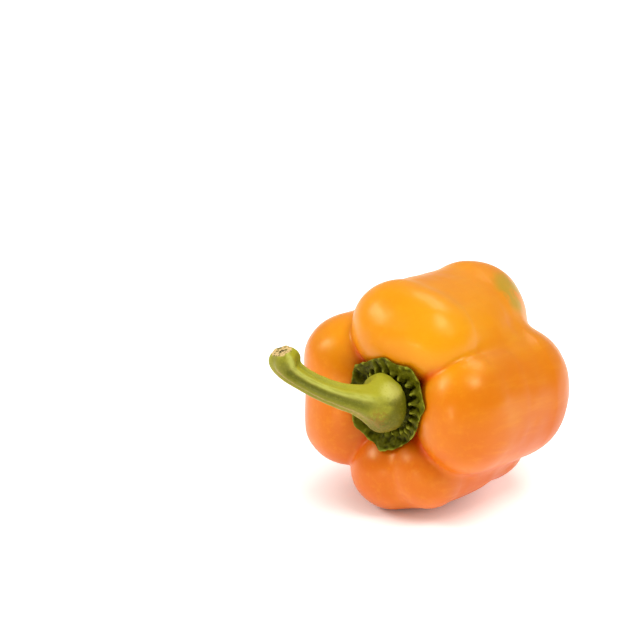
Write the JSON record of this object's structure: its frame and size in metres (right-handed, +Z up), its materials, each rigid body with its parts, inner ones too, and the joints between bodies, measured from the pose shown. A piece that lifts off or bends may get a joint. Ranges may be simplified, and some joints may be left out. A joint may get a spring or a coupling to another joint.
{
  "type": "bell pepper",
  "caption": "Blocky orange bell pepper with deep furrows between its lobes, a pointed green calyx in its hollow and a curved cut stem, lying on its side.",
  "frame": {"origin": "middle of the pepper's bounding box, at the height of the surface it lies on", "axes": "+Z up from the surface it lies on; the stem end points towards -Y and the blossom end towards +Y, with the fruit's core lifted 10 degrees at the stem end"},
  "size_m": [0.0862, 0.1006, 0.0825],
  "materials": {
    "fruit_skin": "smooth waxy orange skin with a soft gloss, yellower on the upper lobe and redder in the furrows",
    "calyx_green": "dark green crinkled leaf-like cap, lighter on its knobs and rim",
    "stem_green": "yellow-green ridged stalk with a slight sheen and a dry tan cut end"
  },
  "bodies": {
    "root": {"fruit": "fruit_skin", "calyx": "calyx_green", "stem": "stem_green"}
  },
  "joints": []
}
